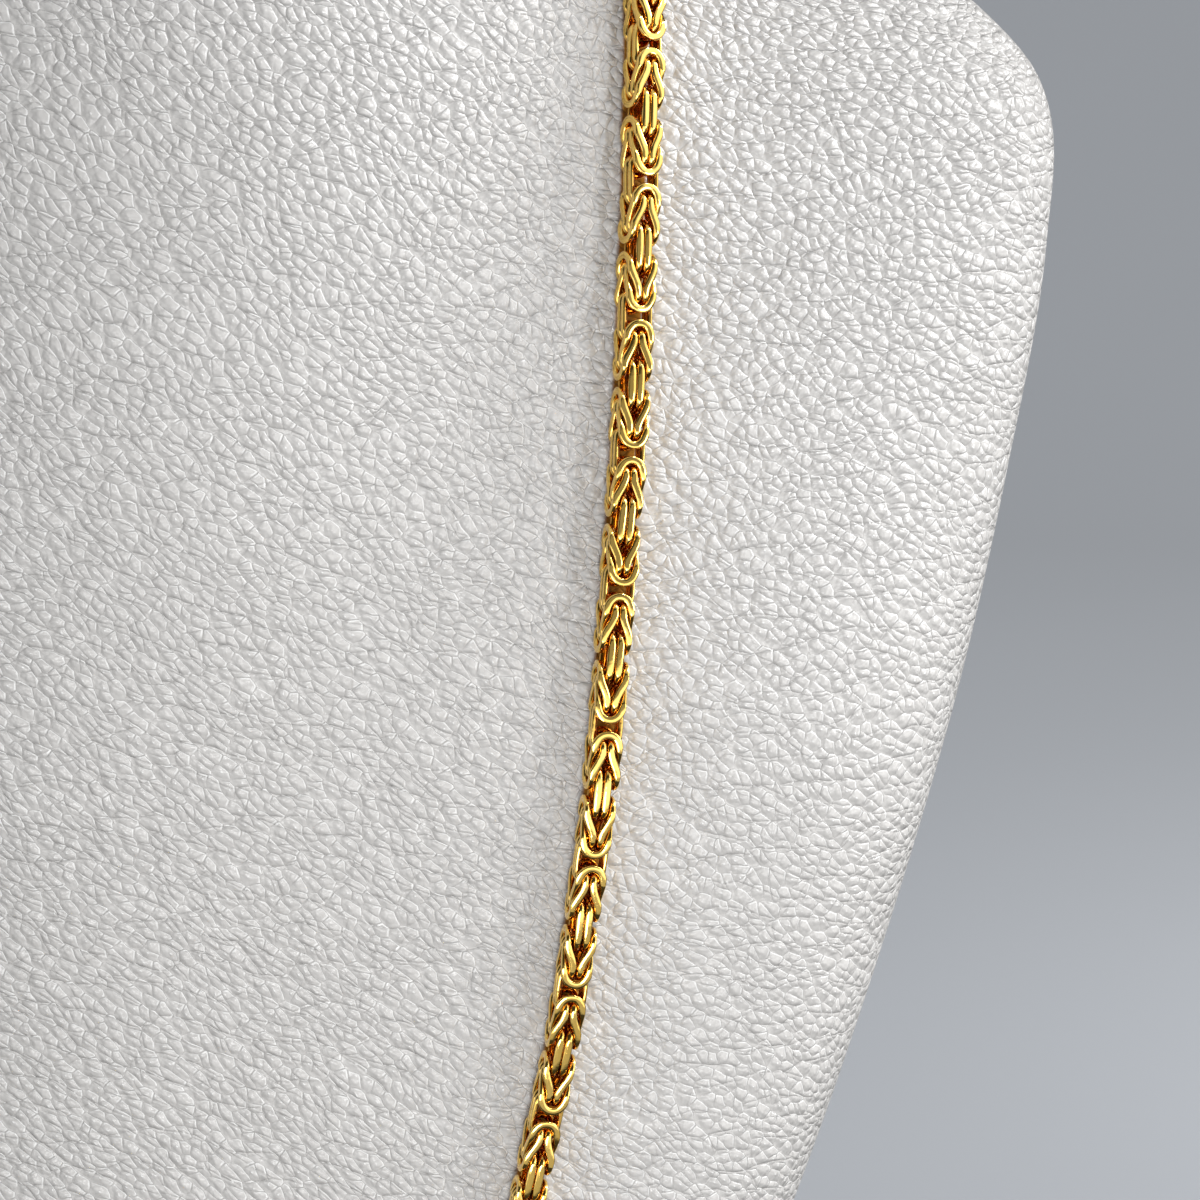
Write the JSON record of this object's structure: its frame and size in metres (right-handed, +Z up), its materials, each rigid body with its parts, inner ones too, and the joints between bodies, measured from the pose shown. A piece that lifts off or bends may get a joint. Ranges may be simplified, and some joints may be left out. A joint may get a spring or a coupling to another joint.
{
  "type": "byzantine chain on neck bust",
  "caption": "Square planed byzantine chain of polished yellow gold, closed by a lobster clasp, hung on a white pebbled leatherette neck bust with a flat foot.",
  "frame": {"origin": "on the foot's plane, in the middle of the outer box", "axes": "+Z up along the neck, front of the chest towards -Y, +X to the viewer's right"},
  "size_m": [0.1864, 0.1003, 0.3],
  "materials": {
    "gold": "polished yellow gold",
    "leatherette": "pebbled satin leatherette"
  },
  "bodies": {
    "root": {"neck_bust": "leatherette", "chain": "gold", "end_cap_left": "gold", "end_cap_right": "gold", "jump_ring_left": "gold", "jump_ring_right": "gold", "clasp": "gold"}
  },
  "joints": []
}
